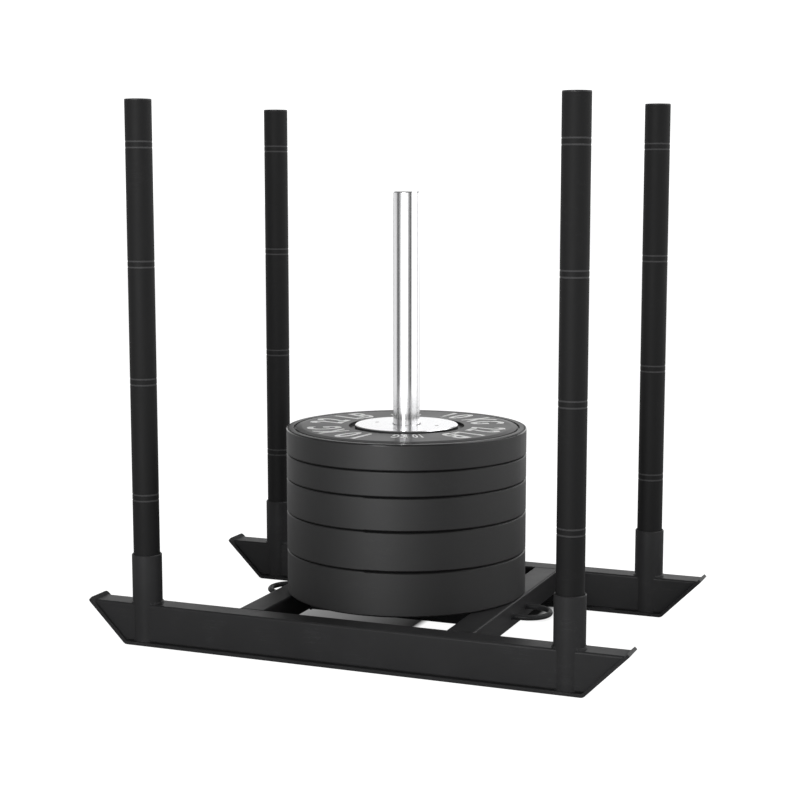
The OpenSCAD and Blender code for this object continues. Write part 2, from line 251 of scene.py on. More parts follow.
def component(tree, vector, axis):
    return add_node(tree, "ShaderNodeSeparateXYZ", {0: vector}).outputs[axis]


def distance_from_z_axis(tree, place):
    return vector_math(tree, "LENGTH", vector_math(tree, "MULTIPLY", place, (1.0, 1.0, 0.0)))


def noise(tree, place, scale, detail, roughness=0.5):
    return add_node(tree, "ShaderNodeTexNoise", {
        "Vector": place, "Scale": scale, "Detail": detail, "Roughness": roughness}).outputs["Fac"]


def mix_color(tree, mask, first, second):
    node = add_node(tree, "ShaderNodeMix", data_type="RGBA")
    for index, value in ((0, mask), (6, first), (7, second)):
        set_input(node, index, value)
    return node.outputs[2]


def camera_mix(tree, unseen, seen):
    """One number for the camera's own view of a surface, and another for its light on the rest."""
    to_camera = add_node(tree, "ShaderNodeLightPath").outputs["Is Camera Ray"]
    return add_node(tree, "ShaderNodeMix", {0: to_camera, 2: unseen, 3: seen}, data_type="FLOAT").outputs[0]


def opaque(color):
    return (*color, 1.0)


def shade(color, factor):
    return opaque(tuple(min(1.0, channel * factor) for channel in color))


def new_group(name, inputs, *outputs):
    """An empty node group with named sockets, and its input and output nodes."""
    group = bpy.data.node_groups.new(name, "ShaderNodeTree")
    for socket, default in inputs.items():
        made = group.interface.new_socket(socket, in_out="INPUT", socket_type="NodeSocketFloat")
        made.default_value = default
    for socket in outputs:
        kind = "NodeSocketVector" if socket == "Normal" else "NodeSocketFloat"
        group.interface.new_socket(socket, in_out="OUTPUT", socket_type=kind)
    return group, group.nodes.new("NodeGroupInput").outputs, group.nodes.new("NodeGroupOutput")


def grain_group():
    """Fine relief of a coated or moulded surface, and a broad, faint change of tone."""
    group, given, result = new_group("Grain", {"Scale": 900.0, "Tone Scale": 9.0}, "Relief", "Tone")
    place = object_place(group)
    connect(result, "Relief", noise(group, place, given["Scale"], 2.0, 0.5))
    connect(result, "Tone", noise(group, place, given["Tone Scale"], 4.0, 0.6))
    return group


def edge_wear_group():
    """A mask of worn edges, and a normal that rounds every edge."""
    group, given, result = new_group(
        "Edge Wear", {"Radius": 0.6 * MM, "Patch Scale": 40.0, "Amount": 0.5}, "Mask", "Normal")
    rounded = add_node(group, "ShaderNodeBevel", {"Radius": given["Radius"]}, samples=6).outputs[0]
    edge = ramp(group, vector_math(group, "DOT_PRODUCT", rounded, surface_normal(group)), 0.995, 0.86)
    patch = ramp(group, noise(group, object_place(group), given["Patch Scale"], 5.0, 0.7), 0.50, 0.66)
    connect(result, "Mask", product(group, edge, patch, given["Amount"]))
    connect(result, "Normal", rounded)
    return group


def scuff_group():
    """A mask of thin scratches that run along X, with breaks in them."""
    group, given, result = new_group("Scuffs", {"Scale": 60.0, "Stretch": 0.06, "Amount": 0.5}, "Mask")
    place = object_place(group)
    stretch = add_node(group, "ShaderNodeCombineXYZ", {"X": given["Stretch"], "Y": 1.0, "Z": 1.0})
    drawn = vector_math(group, "MULTIPLY", place, stretch.outputs[0])
    lines = noise(group, drawn, given["Scale"], 6.0, 0.75)
    thin = ramp(group, distance_from(group, lines, 0.5), 0.012, 0.0)
    where = ramp(group, noise(group, place, 14.0, 3.0), 0.52, 0.62)
    connect(result, "Mask", product(group, thin, where, given["Amount"]))
    return group


def dust_group():
    """A mask of dust on surfaces that face up."""
    group, given, result = new_group("Dust", {"Scale": 24.0, "Amount": 0.2}, "Mask")
    up = ramp(group, component(group, surface_normal(group), "Z"), 0.6, 0.98)
    patch = ramp(group, noise(group, object_place(group), given["Scale"], 7.0, 0.65), 0.35, 0.75)
    connect(result, "Mask", product(group, up, patch, given["Amount"]))
    return group


GROUP_MAKERS = {"Grain": grain_group, "Edge Wear": edge_wear_group, "Scuffs": scuff_group, "Dust": dust_group}


def effect(tree, name, **values):
    """The outputs of a shared effect, placed in a material with its own values."""
    node = tree.nodes.new("ShaderNodeGroup")
    node.node_tree = bpy.data.node_groups.get(name) or GROUP_MAKERS[name]()
    for socket, value in values.items():
        node.inputs[socket.replace("_", " ")].default_value = value
    return node.outputs


def new_material(name, **shader_values):
    """Makes a material with only its surface shader, whose plain sockets take shader_values."""
    material = bpy.data.materials.new(name)
    material.use_nodes = True
    tree = material.node_tree
    surface = tree.nodes["Principled BSDF"]
    for socket, value in shader_values.items():
        surface.inputs[socket.replace("_", " ")].default_value = value
    return tree, surface


def two_tone(tree, grain, color, low, high):
    """A colour that wanders with the grain's broad tone between two shades of itself."""
    return mix_color(tree, grain["Tone"], shade(color, low), shade(color, high))


def covered(tree, color, *layers):
    """A colour with others laid over it in turn, each through its mask."""
    for mask, over in layers:
        color = mix_color(tree, mask, color, over)
    return color


def paint_over(surface, mask, color):
    """Lays one more colour over what a shader's Base Color already gets."""
    painted = surface.inputs["Base Color"].links[0].from_socket
    connect(surface, "Base Color", mix_color(surface.id_data, mask, painted, opaque(color)))


def roughness_by_grain(tree, grain, low, high):
    return ramp(tree, grain["Tone"], 0.3, 0.7, low, high)


def set_relief(tree, surface, height, distance, normal=None):
    """Feeds the shader's normal from a height, over a rounded normal if there is one."""
    values = {"Height": height, "Distance": distance, "Strength": 1.0}
    if normal is not None:
        values["Normal"] = normal
    connect(surface, "Normal", add_node(tree, "ShaderNodeBump", values).outputs[0])


# Materials


DUST_ON_COAT = (0.20, 0.20, 0.195, 1.0)
DUST_ON_CAPS = (0.20, 0.20, 0.20, 1.0)
DUST_ON_RUBBER = (0.22, 0.22, 0.215, 1.0)


def coat_material(name, color, finish, roughness, grain_scale=750.0, grain_depth=0.06 * MM,
                  scuffs=0.25, gloss=0.13):
    """Powder coat: a fine orange-peel relief, worn edges, thin scratches and a little dust."""
    tree, surface = new_material(name, IOR=1.5, Specular_IOR_Level=gloss)
    grain = effect(tree, "Grain", Scale=grain_scale, Tone_Scale=7.0)
    wear = effect(tree, "Edge Wear", Radius=0.8 * MM, Patch_Scale=38.0, Amount=finish.wear)
    scratch = effect(tree, "Scuffs", Scale=70.0, Stretch=0.05, Amount=scuffs)
    dust = effect(tree, "Dust", Scale=22.0, Amount=finish.dust)
    connect(surface, "Base Color", covered(
        tree, two_tone(tree, grain, color, 0.82, 1.2), (scratch[0], shade(color, 3.2)),
        (wear["Mask"], shade(color, 5.0)), (dust[0], DUST_ON_COAT)))
    clean = roughness_by_grain(tree, grain, roughness - 0.05, roughness + 0.06)
    connect(surface, "Roughness", math_node(tree, "ADD", clean, product(tree, dust[0], 0.3), True))
    set_relief(tree, surface, grain["Relief"], grain_depth, wear["Normal"])
    return tree, surface


def frame_coat(finish):
    coat_material("frame_coat", finish.coat_color, finish, finish.coat_roughness)


def skid_coat(finish):
    """The frame's coat, rubbed down to bare steel on the sole and round the bends."""
    tree, surface = coat_material(
        "skid_coat", finish.coat_color, finish, finish.coat_roughness, scuffs=0.5)
    place = object_place(tree)
    low = ramp(tree, component(tree, place, "Z"), 9.0 * MM, 0.2 * MM)
    down = ramp(tree, component(tree, surface_normal(tree), "Z"), -0.3, -0.8)
    scratch = effect(tree, "Scuffs", Scale=30.0, Stretch=0.03, Amount=1.0)
    patch = ramp(tree, noise(tree, place, 16.0, 8.0), 0.40, 0.62)
    bare = product(tree, low, down, math_node(tree, "ADD", patch, scratch[0], True))
    paint_over(surface, bare, finish.steel_color)
    connect(surface, "Metallic", bare)


def pole_coat(finish):
    """Matt coat with paler rings in the grooves of the height marks."""
    tree, surface = coat_material(
        "pole_coat", finish.pole_color, finish, 0.62, 520.0, 0.10 * MM, scuffs=0.35, gloss=0.15)
    quadrant = vector_math(tree, "ABSOLUTE", object_place(tree))
    offset = vector_math(tree, "SUBTRACT", quadrant, (POLE_AXIS.x, POLE_AXIS.y, 0.0))
    radius = distance_from_z_axis(tree, offset)
    groove = ramp(tree, radius, POLE_RADIUS - 0.15 * MM, POLE_RADIUS - 0.30 * MM)
    outer = ramp(tree, radius, POLE_RADIUS - 1.5 * MM, POLE_RADIUS - 1.0 * MM)
    paint_over(surface, product(tree, groove, outer), finish.mark_color)


def cap_plastic(finish):
    """Moulded plastic: fine grain and a few scuffs."""
    tree, surface = new_material("cap_plastic", IOR=1.46)
    grain = effect(tree, "Grain", Scale=1600.0, Tone_Scale=30.0)
    scratch = effect(tree, "Scuffs", Scale=120.0, Stretch=0.2, Amount=0.4)
    dust = effect(tree, "Dust", Scale=60.0, Amount=finish.dust)
    connect(surface, "Base Color", covered(
        tree, two_tone(tree, grain, finish.cap_color, 0.8, 1.3),
        (scratch[0], shade(finish.cap_color, 4.0)), (dust[0], DUST_ON_CAPS)))
    connect(surface, "Roughness", roughness_by_grain(tree, grain, 0.45, 0.60))
    set_relief(tree, surface, grain["Relief"], 0.03 * MM)


def polished_chrome(finish):
    """Polished chrome with faint rings where plates have rubbed, and duller just above the stack."""
    tree, surface = new_material("polished_chrome", Metallic=1.0)
    place = object_place(tree)
    squeezed = vector_math(tree, "MULTIPLY", place, (0.12, 0.12, 1.0))
    rings = ramp(tree, noise(tree, squeezed, 420.0, 5.0, 0.7), 0.56, 0.70)
    where = ramp(tree, noise(tree, place, 11.0, 3.0), 0.45, 0.70)
    line = product(tree, rings, where)
    connect(surface, "Base Color", mix_color(
        tree, line, opaque(finish.chrome_color), shade(finish.chrome_color, 0.86)))
    height = component(tree, place, "Z")
    near_stack = ramp(tree, height, STACK_RIM_TOP + 80 * MM, STACK_RIM_TOP + 45 * MM, 0.0, 0.16)
    above_foot = ramp(tree, height, STACK_RIM_TOP + 22 * MM, STACK_RIM_TOP + 38 * MM, 0.1, 1.0)
    connect(surface, "Roughness", math_node(
        tree, "ADD", ramp(tree, line, 0.0, 1.0, 0.13, 0.21), product(tree, near_stack, above_foot)))
    set_relief(tree, surface, noise(tree, place, 30.0, 2.0), 0.01 * MM)


def hub_chrome(finish):
    """Turned and plated steel: fine circles round the bore, and painted shade on the disc's edge, in the
    rubber's colour and without metal.
    """
    tree, surface = new_material("hub_chrome")
    radius = distance_from_z_axis(tree, object_place(tree))
    circles = add_node(tree, "ShaderNodeTexNoise", {
        "W": radius, "Scale": 1400.0, "Detail": 3.0}, noise_dimensions="1D").outputs["Fac"]
    grain = effect(tree, "Grain", Scale=240.0, Tone_Scale=18.0)
    wear = effect(tree, "Edge Wear", Radius=0.5 * MM, Patch_Scale=60.0, Amount=0.2)
    # Painted shade: the disc's side wall gets the rubber's dark colour, no metal and more roughness
    painted_edge_shade = ramp(tree, radius, HUB_RADIUS - 0.3 * MM, HUB_RADIUS - 0.15 * MM)
    connect(surface, "Base Color", mix_color(
        tree, painted_edge_shade, two_tone(tree, grain, finish.chrome_color, 0.94, 1.0), opaque(finish.rubber_color)))
    connect(surface, "Metallic", inverse(tree, painted_edge_shade))
    turned = ramp(tree, circles, 0.3, 0.7, 0.17, 0.25)
    connect(surface, "Roughness", math_node(tree, "MAXIMUM", turned, product(tree, painted_edge_shade, 0.6)))
    set_relief(tree, surface, circles, 0.004 * MM, wear["Normal"])


def screw_zinc(finish):
    """Zinc-plated steel, a little mottled."""
    tree, surface = new_material("screw_zinc", Metallic=1.0)
    grain = effect(tree, "Grain", Scale=1800.0, Tone_Scale=260.0)
    connect(surface, "Base Color", two_tone(tree, grain, finish.steel_color, 0.9, 1.5))
    connect(surface, "Roughness", roughness_by_grain(tree, grain, 0.28, 0.45))
    set_relief(tree, surface, grain["Relief"], 0.01 * MM)


def moulded_rubber(finish):
    """Moulded rubber with scuffs and dust, smoother on faces and corners, and with painted shade in the
    stack's seams and on the flat rims.
    """
    tree, surface = new_material("moulded_rubber", IOR=1.52, Specular_IOR_Level=0.36)
    grain = effect(tree, "Grain", Scale=1100.0, Tone_Scale=5.0)
    wear = effect(tree, "Edge Wear", Radius=1.2 * MM, Patch_Scale=30.0, Amount=0.5)
    scratch = effect(tree, "Scuffs", Scale=45.0, Stretch=0.12, Amount=0.22)
    dust = effect(tree, "Dust", Scale=18.0, Amount=finish.dust)
    color = finish.rubber_color
    place = object_place(tree)
    height = component(tree, place, "Z")
    rim = ramp(tree, distance_from_z_axis(tree, place), PLATE_RADIUS - 5 * MM, PLATE_RADIUS - 4 * MM)
    below_top = ramp(tree, height, STACK_RIM_TOP - 8 * MM, STACK_RIM_TOP - 12 * MM)
    # 0 on a plate's side and 1 on its flat faces, with the rounded corners between
    tilt = math_node(tree, "ABSOLUTE", component(tree, surface_normal(tree), "Z"))
    # Painted shade: the rounded corners below the top plate's top, where the plates shade each other in the
    # stack's seams
    painted_seam_shade = product(tree, rim, below_top, ramp(tree, tilt, 0.12, 0.30))
    flat_rim = product(tree, rim, ramp(tree, tilt, 0.86, 0.94))
    top_corner = product(
        tree, inverse(tree, below_top), ramp(tree, tilt, 0.08, 0.16), ramp(tree, tilt, 0.92, 0.80))
    corner = math_node(tree, "MAXIMUM", top_corner, ramp(tree, tilt, 0.34, 0.45, 0.0, 0.3))
    corner = product(tree, rim, corner, inverse(tree, flat_rim))
    # Painted shade: the seams, and the flat rims more lightly, get a darker base colour
    dark = math_node(tree, "MAXIMUM", painted_seam_shade, product(tree, flat_rim, 0.6))
    connect(surface, "Base Color", covered(
        tree, two_tone(tree, grain, color, 0.85, 1.2), (scratch[0], shade(color, 2.4)),
        (wear["Mask"], shade(color, 2.2)), (dust[0], DUST_ON_RUBBER), (dark, shade(color, 0.4))))
    face = product(tree, inverse(tree, rim), ramp(tree, tilt, 0.90, 0.95))
    polish = math_node(tree, "MAXIMUM", corner, product(tree, face, 0.46))
    connect(surface, "Roughness", product(
        tree, roughness_by_grain(tree, grain, 0.47, 0.55), ramp(tree, polish, 0.0, 1.0, 1.0, 0.36)))
    set_relief(tree, surface, grain["Relief"], 0.01 * MM, wear["Normal"])


def figure_ink(finish):
    """Printed ink, worn through to the rubber in small flecks."""
    tree, surface = new_material("figure_ink", IOR=1.48)
    grain = effect(tree, "Grain", Scale=1100.0, Tone_Scale=14.0)
    worn = ramp(tree, noise(tree, object_place(tree), 320.0, 4.0, 0.8), 0.70, 0.76)
    connect(surface, "Base Color", mix_color(
        tree, worn, two_tone(tree, grain, finish.ink_color, 0.9, 1.0), shade(finish.rubber_color, 3.0)))
    connect(surface, "Roughness", roughness_by_grain(tree, grain, 0.28, 0.36))
    set_relief(tree, surface, grain["Relief"], 0.01 * MM)


# The maker of each material has the material's own name
MATERIAL_MAKERS = {maker.__name__: maker for maker in (
    frame_coat, skid_coat, pole_coat, cap_plastic, polished_chrome, hub_chrome, screw_zinc, moulded_rubber,
    figure_ink)}


def get_material(context, name):
    """The named material, made once from the scene's finish settings."""
    if name not in bpy.data.materials:
        MATERIAL_MAKERS[name](context.scene.sled_finish)
    return bpy.data.materials[name]


def coat_nodes(context, material_name, nodes):
    """Gives the frame's own nodes a material."""
    material = get_material(context, material_name)
    for name in nodes:
        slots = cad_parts[name].material_slots
        if not slots:
            raise RuntimeError(f"node {name} has no material slot")
        for slot in slots:
            slot.material = material


def finished_mesh(mesh, name):
    """A mesh to keep, from one in the making."""
    data = bpy.data.meshes.new(name)
    mesh.to_mesh(data)
    mesh.free()
    return data


def smooth_mesh(mesh, name):
    bmesh.ops.recalc_face_normals(mesh, faces=mesh.faces)
    data = finished_mesh(mesh, name)
    data.shade_smooth()
    return data


def new_object(name, data):
    made = bpy.data.objects.new(name, data)
    bpy.context.scene.collection.objects.link(made)
    return made


def add_piece(name, mesh, material, body, replaces=()):
    """A finished mesh as a piece of the sled that rides on a body."""
    piece = new_object(name, mesh)
    mesh.materials.append(material)
    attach(piece, body)
    if replaces:
        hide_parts(*replaces)
    return piece


# Round shapes


def circle_points(centre, radius, first_axis, second_axis, start=0.0, stop=360.0, count=72):
    """Points on an arc in the plane of two unit axes, with the angles in degrees."""
    points = []
    for i in range(count + 1):
        angle = math.radians(start + (stop - start) * i / count)
        points.append(centre + radius * (math.cos(angle) * first_axis + math.sin(angle) * second_axis))
    return points


def add_ring(mesh, centre, radius, first_axis, second_axis, sides):
    points = circle_points(centre, radius, first_axis, second_axis, count=sides)
    return [mesh.verts.new(point) for point in points[:-1]]


def join_rings(mesh, rings):
    """Faces between rings and over both ends. A ring may have a whole fraction of the last one's points."""
    for first, second in zip(rings, rings[1:]):
        share = len(first) // len(second)
        for k in range(len(first)):
            a, b = first[k], first[(k + 1) % len(first)]
            c = second[((k + 1) // share) % len(second)]
            d = second[(k // share) % len(second)]
            mesh.faces.new((a, b, c) if c is d else (a, b, c, d))
    mesh.faces.new(rings[0])
    mesh.faces.new(rings[-1])


# Weld beads


def section_weld_points(centre, across, half_width, top, bottom):
    """Points down one side of a hollow section, round its bottom corners and up the other side."""
    radius = SECTION_CORNER_RADIUS
    points = [centre + half_width * across + UP * top]
    for sign, start in ((1, 0.0), (-1, -90.0)):
        corner = centre + sign * (half_width - radius) * across + UP * (bottom + radius)
        points += circle_points(corner, radius, across, UP, start, start - 90.0, 8)
    points.append(centre - half_width * across + UP * top)
    return points


def resampled(points, step):
    """Points at equal steps along a path, with how far along each is."""
    lengths = [0.0]
    for first, second in zip(points, points[1:]):
        lengths.append(lengths[-1] + (second - first).length)
    count = max(2, round(lengths[-1] / step))
    result = []
    segment = 0
    for i in range(count + 1):
        target = lengths[-1] * i / count
        while segment < len(points) - 2 and lengths[segment + 1] < target:
            segment += 1
        span = lengths[segment + 1] - lengths[segment]
        share = (target - lengths[segment]) / span if span else 0.0
        result.append((points[segment].lerp(points[segment + 1], share), target))
    return result


def add_bead(mesh, points, radius, pitch):
    """A rippled bead of weld along a path, with round ends."""
    sides = 10
    ripple = 0.16
    steps_in_ripple = 5
    steps_in_end = 4
    first_step = 0.4
    path = resampled(points, pitch / steps_in_ripple)
    closed = (points[0] - points[-1]).length < 0.001 * MM
    side_axis = None
    rings = []
    for i, (point, distance) in enumerate(path):
        before = path[max(i - 1, 0)][0]
        after = path[min(i + 1, len(path) - 1)][0]
        ahead = (after - before).normalized()
        if side_axis is None:
            side_axis = ahead.orthogonal().normalized()
        side_axis = (side_axis - side_axis.dot(ahead) * ahead).normalized()
        other_axis = ahead.cross(side_axis)
        wave = (distance / pitch) % 1.0
        size = radius * (1.0 + ripple * (math.sin(math.pi * wave) - 0.5))
        from_end = min(i, len(path) - 1 - i)
        if not closed:
            size *= math.sin(math.pi / 2 * min(1.0, (from_end + first_step) / steps_in_end))
        rings.append(add_ring(mesh, point, size, side_axis, other_axis, sides))
    join_rings(mesh, rings)


def weld_piece(context, name, paths, radius):
    """One piece that holds the beads along several paths."""
    mesh = bmesh.new()
    for points in paths:
        add_bead(mesh, points, radius, context.scene.sled_detail.ripple_pitch)
    material = get_material(context, "frame_coat")
    return add_piece(name, smooth_mesh(mesh, name), material, FRAME_BODY)


def section_weld_paths(node, lengthwise, across):
    """Round both ends of a hollow section, up to just below its top."""
    low, high = box(node)
    half = half_size(node)
    foot = middle(node) * Vector((1, 1, 0))
    return [section_weld_points(foot + sign * half.dot(lengthwise) * lengthwise, across,
                                half.dot(across), high.z - WELD_END_DROP, low.z) for sign in (-1, 1)]


def tow_loop_weld_paths():
    """A ring round each arm of both tow loops, against the cross members."""
    paths = []
    for end, sign in ENDS.items():
        low, high = box(end + "_tow_loop")
        bar_radius = (high.z - low.z) / 2
        root = low.x if sign > 0 else high.x
        for y in (low.y + bar_radius, high.y - bar_radius):
            centre = Vector((root, y, (low.z + high.z) / 2))
            paths.append(circle_points(centre, bar_radius, ACROSS, UP))
    return paths


def socket_weld_paths(side, end):
    """Two arcs on the runner's top, and the four seams up its sides where the socket bulges out."""
    proud = 1.2 * MM
    short_of_corner = 4 * MM
    sunk = 0.6 * MM
    foot_gap, head_gap = 3 * MM, 4 * MM
    axis = middle(f"{side}_{end}_pole")
    top = Vector((axis.x, axis.y, FRAME_TOP + proud))
    half_angle = math.degrees(math.asin((RUNNER_HALF_WIDTH - short_of_corner) / SOCKET_RADIUS))
    paths = [circle_points(top, SOCKET_RADIUS + proud, ALONG * sign, ACROSS, -half_angle, half_angle)
             for sign in (-1, 1)]
    seam_x = math.sqrt(SOCKET_RADIUS ** 2 - RUNNER_HALF_WIDTH ** 2)
    seam_y = RUNNER_HALF_WIDTH - sunk
    for x in (-seam_x, seam_x):
        for y in (-seam_y, seam_y):
            foot = Vector((axis.x + x, axis.y + y, RUNNER_BOTTOM + foot_gap))
            paths.append([foot, foot + UP * (FRAME_TOP - RUNNER_BOTTOM - foot_gap - head_gap)])
    return paths


def skid_weld_paths(side):
    """Stitches along the runner's bottom edge, on its inner side."""
    stitch = 46 * MM
    end_gap = 70 * MM
    count = 6
    low, high = box(side + "_runner")
    inner = low.y if SIDES[side] > 0 else high.y
    reach = high.x - end_gap
    paths = []
    for i in range(count):
        centre = Vector((-reach + 2 * reach * i / (count - 1), inner, RUNNER_BOTTOM))
        paths.append([centre - ALONG * stitch / 2, centre + ALONG * stitch / 2])
    return paths


# Screws


def add_screw(mesh, centre, face_z, up):
    """A flush button-headed screw with a hexagon socket, which goes into the plate against up."""
    sides, key_sides = 24, 6
    key_radius = 2.3 * MM
    key_depth = 1.1 * MM
    head_height = 1.6 * MM
    edge = 0.35 * MM
    outline = [
        (SCREW_SHANK_RADIUS, -SCREW_LENGTH, sides),
        (SCREW_SHANK_RADIUS, -head_height, sides),
        (SCREW_HEAD_RADIUS, -head_height, sides),
        (SCREW_HEAD_RADIUS, -edge, sides),
        (SCREW_HEAD_RADIUS - edge, 0.0, sides),
        (key_radius + edge, 0.0, sides),
        (key_radius, -edge / 2, key_sides),
        (key_radius, -key_depth, key_sides),
    ]
    join_rings(mesh, [
        add_ring(mesh, centre + UP * (face_z + up * z), radius, ALONG, ACROSS, count)
        for radius, z, count in outline])


def screws_mesh(plate):
    low, high = box(f"plate_{plate}_hub")
    mesh = bmesh.new()
    for k in range(SCREWS_ON_A_FACE):
        angle = 2 * math.pi * k / SCREWS_ON_A_FACE
        centre = Vector((math.cos(angle), math.sin(angle), 0)) * SCREW_CIRCLE_RADIUS
        add_screw(mesh, centre, high.z, 1)
        add_screw(mesh, centre, low.z, -1)
    data = smooth_mesh(mesh, f"plate_{plate}_hex_screws")
    data.set_sharp_from_angle(angle=math.radians(35))
    return data


# Printed figures


# How finely the figures are cut to follow their arc, and how far their sides go into the rubber
STRIPS_IN_A_HEIGHT = 14
INK_SUNK = 0.05 * MM


def x_extent(mesh):
    places = [vert.co.x for vert in mesh.verts]
    return min(places), max(places)


def flat_text_mesh(text, height, width, spacing):
    """A text lying flat and centred on the origin, as wide and tall as asked."""
    # The height of a capital and the extra weight of its strokes, as shares of the font's size
    cap_share, weight = 0.73, 0.020
    curve = bpy.data.curves.new("figure_outline", "FONT")
    curve.body = text
    curve.size = height / cap_share
    curve.offset = weight * curve.size
    curve.space_character = spacing
    curve.resolution_u = 8
    holder = new_object("figure_outline", curve)
    bpy.context.view_layer.update()
    data = bpy.data.meshes.new_from_object(holder.evaluated_get(bpy.context.evaluated_depsgraph_get()))
    bpy.data.objects.remove(holder)
    bpy.data.curves.remove(curve)
    mesh = bmesh.new()
    mesh.from_mesh(data)
    bpy.data.meshes.remove(data)
    low, high = x_extent(mesh)
    for vert in mesh.verts:
        vert.co.x = ((vert.co.x - low) / (high - low) - 0.5) * width
    return mesh


def cut_in_strips(mesh, step):
    """Cuts a flat mesh along lines of equal X, so that it can follow an arc."""
    low, high = x_extent(mesh)
    for i in range(1, int((high - low) / step)):
        bmesh.ops.bisect_plane(
            mesh, geom=mesh.verts[:] + mesh.edges[:] + mesh.faces[:],
            plane_co=(low + i * step, 0, 0), plane_no=(1, 0, 0))


def bend_to_arc(mesh, inner_radius, height, centre_angle, up):
    """Wraps a flat mesh round Z with its feet inward, reading clockwise seen from the side up faces."""
    middle_radius = inner_radius + height / 2
    for vert in mesh.verts:
        angle = centre_angle - up * vert.co.x / middle_radius
        radius = inner_radius + vert.co.y
        vert.co = Vector((radius * math.cos(angle), radius * math.sin(angle), 0.0))


def add_thickness(mesh, face_z, up, thickness):
    """Stands a flat mesh at face_z and gives it sides down to the face."""
    top = face_z + up * thickness
    for vert in mesh.verts:
        vert.co.z = top
    rim = [edge for edge in mesh.edges if edge.is_boundary]
    walls = bmesh.ops.extrude_edge_only(mesh, edges=rim)["geom"]
    for vert in (element for element in walls if isinstance(element, bmesh.types.BMVert)):
        vert.co.z = face_z - up * INK_SUNK


def figures_mesh(context, plate, up):
    """The figures on one face of a plate: large ones on two arcs and small ones between them."""
    detail = context.scene.sled_detail
    low, high = box(f"plate_{plate}_rubber")
    face_z = high.z if up > 0 else low.z + FACE_DISH
    hub_radius = box(f"plate_{plate}_hub")[1].x
    band_low = hub_radius + HUB_GROOVE_WIDTH
    band_high = high.x - RIM_WIDTH
    mass = PLATE_KILOGRAMS[plate]
    pounds = round(mass / KILOGRAMS_IN_A_POUND)
    # The large figures stand a little outside the band's middle, and the small ones near the hub
    outward, above_hub = 6 * MM, 9 * MM
    big_low = (band_low + band_high - detail.figure_height) / 2 + outward
    small_low = band_low + above_hub
    # Text, its height, its inner radius, the angle of its middle, the arc it fills, its spacing
    rows = [
        (f"{mass} KG  {pounds} LB", detail.figure_height, big_low, -159.0, 122.0, 1.15),
        (f"{mass} KG", detail.small_figure_height, small_low, -68.0, 23.0, 1.1),
    ]
    data = bpy.data.meshes.new(f"plate_{plate}_figures_{'top' if up > 0 else 'bottom'}")
    whole = bmesh.new()
    for text, height, inner, arc, spread, spacing in rows:
        for turn in (0.0, math.pi):
            width = math.radians(spread) * (inner + height / 2)
            part = flat_text_mesh(text, height, width, spacing)
            cut_in_strips(part, height / STRIPS_IN_A_HEIGHT)
            bend_to_arc(part, inner, height, up * math.radians(arc) + turn, up)
            add_thickness(part, face_z, up, detail.ink_thickness)
            bmesh.ops.recalc_face_normals(part, faces=part.faces)
            part.to_mesh(data)
            part.free()
            whole.from_mesh(data)
    whole.to_mesh(data)
    whole.free()
    return data


# Studio


# The most light that the floor can give off
PEAK_GLOW = 4.0
# The strength of the sky where the camera looks straight at it
SEEN_SKY = 1.2
# The far floor is brightest this way from the stack. The soft edge of that, and the middle and the edge of
# the dim gap beside it, are cosines of the angle to it. Starts are in metres from the stack
BRIGHTEST_WAY = (-0.07, -0.998, 0.0)
BRIGHT_EDGE = (0.70, 0.95)
BRIGHT_START = (0.7, 1.4)
GAP_MIDDLE = 0.64
GAP_EDGE = (0.10, 0.36)
GAP_LEVEL = 0.40
HORIZON_START = (1.2, 2.2)
# The far floor grows brighter to the right, by so much from the first X to the second
RIGHTWARD_RISE = (0.8, 4.0, 1.0, 1.6)
# Where shade lies on the floor under the stack: one patch along the near runner and one along the far one
NEAR_SHADE = ((-0.30, -0.08), (0.018, 0.12))
NEAR_SHADE_EDGE = 0.008
FAR_SHADE = ((-0.24, 0.14), (0.225, 0.27))
FAR_SHADE_EDGE = 0.02
FLOOR_REACH = 40.0
# Sizes of the flags, in metres
FLAG_DISTANCE = 2.3
FLAG_HEIGHT = 1.85
FLAG_BOTTOM = 0.15
# Where the camera stands, and how it is turned, in metres and degrees
CAMERA_PLACE = Vector((1.1626, -2.9168, 0.8535))
CAMERA_TURN = (82.426, 0.0, 21.955)
CAMERA_AHEAD = (-math.sin(math.radians(CAMERA_TURN[2])), math.cos(math.radians(CAMERA_TURN[2])), 0.0)
CAMERA_RIGHT = (CAMERA_AHEAD[1], -CAMERA_AHEAD[0], 0.0)


def add_to_stage(name, mesh, material_name, **visibility):
    """A mesh as a thing of the studio, and which rays see it."""
    data = finished_mesh(mesh, name)
    data.materials.append(bpy.data.materials[material_name])
    thing = new_object(name, data)
    for sight, seen in visibility.items():
        setattr(thing, sight, seen)


def patch_mask(tree, place, patch, edge):
    """A mask of a soft-edged rectangle on the floor."""
    mask = 1.0
    for axis, start, stop in zip("XY", *patch):
        where = component(tree, place, axis)
        mask = product(tree, ramp(tree, where, start - edge, start + edge), mask)
        mask = product(tree, ramp(tree, where, stop + edge, stop - edge), mask)
    return mask


def far_floor_glow(tree, place, studio):
    """The far floor's light: brightest ahead of the stack, with a dim gap at each side of that."""
    away = vector_math(tree, "LENGTH", place)
    facing = vector_math(tree, "DOT_PRODUCT", vector_math(tree, "NORMALIZE", place), BRIGHTEST_WAY)
    ahead = product(tree, ramp(tree, away, *BRIGHT_START), ramp(
        tree, facing, *BRIGHT_EDGE, 0.0, studio.front_glow))
    gap = ramp(tree, distance_from(tree, facing, GAP_MIDDLE), *GAP_EDGE, GAP_LEVEL, 1.0)
    horizon = ramp(tree, away, *HORIZON_START, 0.0, studio.horizon_glow)
    rise = ramp(tree, component(tree, place, "X"), *RIGHTWARD_RISE)
    return math_node(tree, "ADD", ahead, product(tree, gap, horizon, rise))


